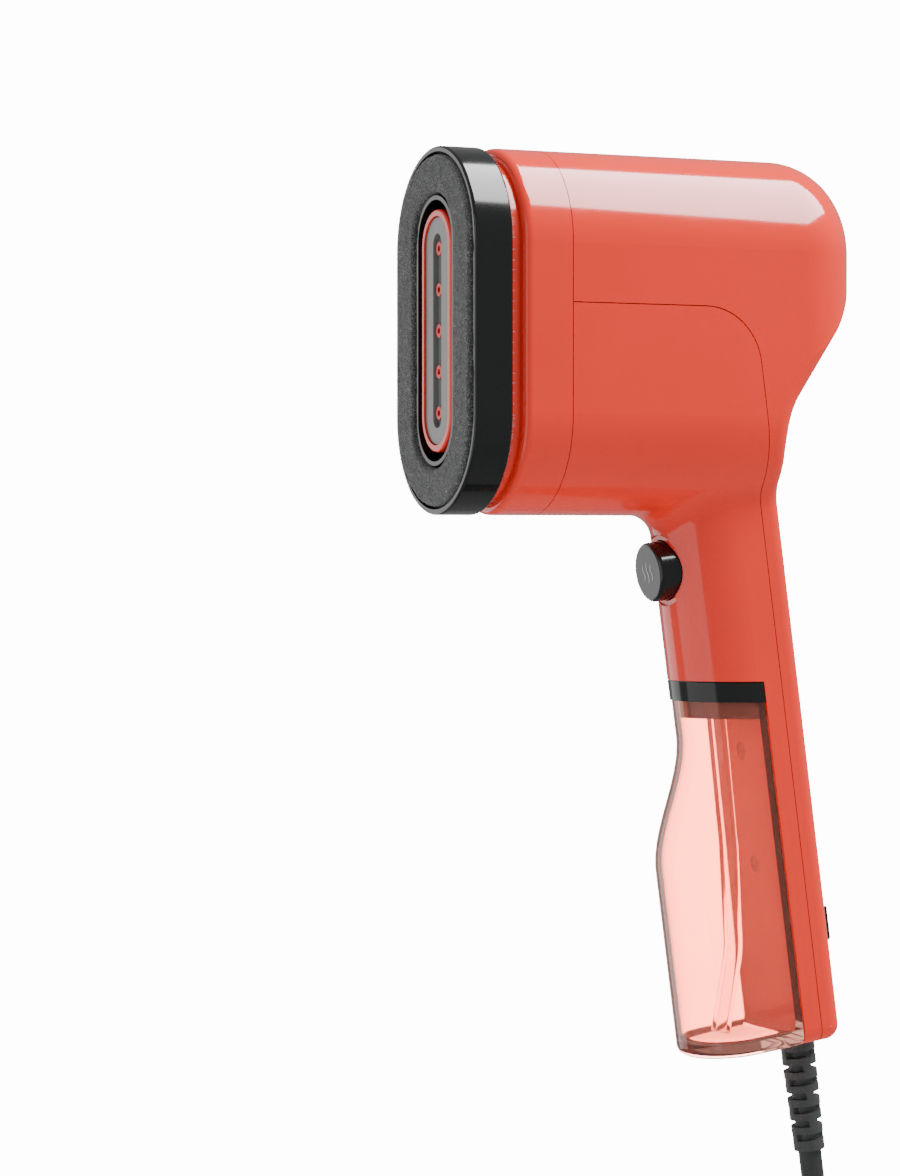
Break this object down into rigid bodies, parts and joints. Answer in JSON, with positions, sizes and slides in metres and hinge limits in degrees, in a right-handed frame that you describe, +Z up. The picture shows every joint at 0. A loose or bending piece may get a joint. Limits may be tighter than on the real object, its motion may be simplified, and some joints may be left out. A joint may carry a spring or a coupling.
{
  "type": "garment steamer",
  "caption": "Handheld garment steamer: upright oblong steam head with a felt ring pad, curved handle with a thumb button, clip-off water tank and a mains cord in a tied hank.",
  "frame": {"origin": "middle of the grip, on the handle's own axis, where the hand closes round the handle", "axes": "+Z up along the upright steamer, -Y out of the steam face, X across the handle; the housing is symmetric about X = 0"},
  "size_m": [0.0662, 0.1389, 0.4715],
  "materials": {
    "coral_plastic": "high gloss moulded coral plastic",
    "black_plastic": "high gloss black plastic",
    "grey_plastic": "satin grey plastic",
    "tank_plastic": "tinted clear plastic",
    "felt": "flecked dark grey felt",
    "lint": "short light grey pile",
    "dark_rubber": "satin dark grey rubber",
    "cord_jacket": "satin black cord jacket",
    "red_rubber": "silicone rubber",
    "clear_hose": "milky silicone hose",
    "cast_metal": "die cast",
    "bright_steel": "plated steel",
    "spring_steel": "drawn steel wire",
    "brass": "turned",
    "plated_pins": "nickel plated",
    "copper_coil": "enamelled wire",
    "white_plastic": "natural nylon",
    "board_green": "lacquered board",
    "part_black": "moulded components",
    "wire_blue": "wire insulation",
    "strap_fabric": "woven black strap"
  },
  "bodies": {
    "housing": {"board_parts": "part_black", "button_guide": "white_plastic", "button_spring": "spring_steel", "chamber_cover": "cast_metal", "chamber_gasket": "red_rubber", "chamber_screws": "bright_steel", "clamp_screws": "bright_steel", "control_board": "board_green", "cord_clamp": "white_plastic", "cord_hank": "cord_jacket", "cord_tie": "strap_fabric", "core_wires": "wire_blue", "delivery_hose": "clear_hose", "front_bezel": "coral_plastic", "front_housing": "coral_plastic", "heating_element": "bright_steel", "housing_screws": "bright_steel", "inner_frame": "white_plastic", "mains_lead": "cord_jacket", "manifold_gasket": "red_rubber", "nozzle_manifold": "grey_plastic", "nozzle_ring": "coral_plastic", "pad_latches": "bright_steel", "piston_spring": "spring_steel", "plug_body": "dark_rubber", "plug_pins": "plated_pins", "power_cord": "cord_jacket", "power_switch": "part_black", "pump_coil": "copper_coil", "pump_mounts": "red_rubber", "pump_tube": "white_plastic", "pump_yoke": "bright_steel", "rear_cover": "coral_plastic", "steam_chamber": "cast_metal", "steam_nozzles": "coral_plastic", "steam_plate": "grey_plastic", "strain_relief": "dark_rubber", "suction_hose": "clear_hose", "tank_socket": "white_plastic", "terminal_block": "white_plastic", "thermal_fuse": "white_plastic", "thermostat": "part_black", "trigger_switch": "part_black", "water_inlet": "brass"},
    "steam_button": {"steam_button": "black_plastic"},
    "switch_plunger": {"switch_plunger": "white_plastic"},
    "power_button": {"power_button": "black_plastic"},
    "pad": {"pad_frame": "black_plastic", "felt_pad": "felt", "lint_pad": "lint"},
    "tank_cap": {"tank_collar": "black_plastic", "neck_seal": "red_rubber", "tank_tube": "clear_hose", "valve_spring": "spring_steel"},
    "tank": {"tank_shell": "tank_plastic"},
    "valve": {"tank_valve": "white_plastic"},
    "piston": {"pump_piston": "bright_steel"}
  },
  "joints": [
    {"name": "steam_button_press", "type": "slide", "parent": "housing", "child": "steam_button", "axis": [0, 0.991, 0.134], "range_m": [0, 0.003], "stiffness_N_per_m": 150, "springref_m": -0.004, "deforming": ["button_spring"]},
    {"name": "switch_plunger_press", "type": "slide", "parent": "housing", "child": "switch_plunger", "axis": [0, 0.991, 0.134], "range_m": [0, 0.003]},
    {"name": "power_button_press", "type": "slide", "parent": "housing", "child": "power_button", "axis": [0, -0.991, -0.134], "range_m": [0, 0.001], "stiffness_N_per_m": 200, "springref_m": -0.003},
    {"name": "pad_pull_off", "type": "slide", "parent": "housing", "child": "pad", "axis": [0, -1, 0], "range_m": [0, 0.035]},
    {"name": "tank_slide_off", "type": "slide", "parent": "housing", "child": "tank_cap", "axis": [0, 0.134, -0.991], "range_m": [0, 0.04]},
    {"name": "tank_unclip", "type": "slide", "parent": "tank_cap", "child": "tank", "axis": [0, 0.134, -0.991], "range_m": [0, 0.02]},
    {"name": "valve_open", "type": "slide", "parent": "tank_cap", "child": "valve", "axis": [0, 0.134, -0.991], "range_m": [0, 0.0025], "stiffness_N_per_m": 60, "springref_m": -0.004, "deforming": ["valve_spring"]},
    {"name": "pump_stroke", "type": "slide", "parent": "housing", "child": "piston", "axis": [0, 0, 1], "range_m": [0, 0.003], "stiffness_N_per_m": 200, "springref_m": -0.004, "deforming": ["piston_spring"]}
  ],
  "couplings": [
    {"joint": "switch_plunger_press", "follows": "steam_button_press", "ratio": 1}
  ]
}
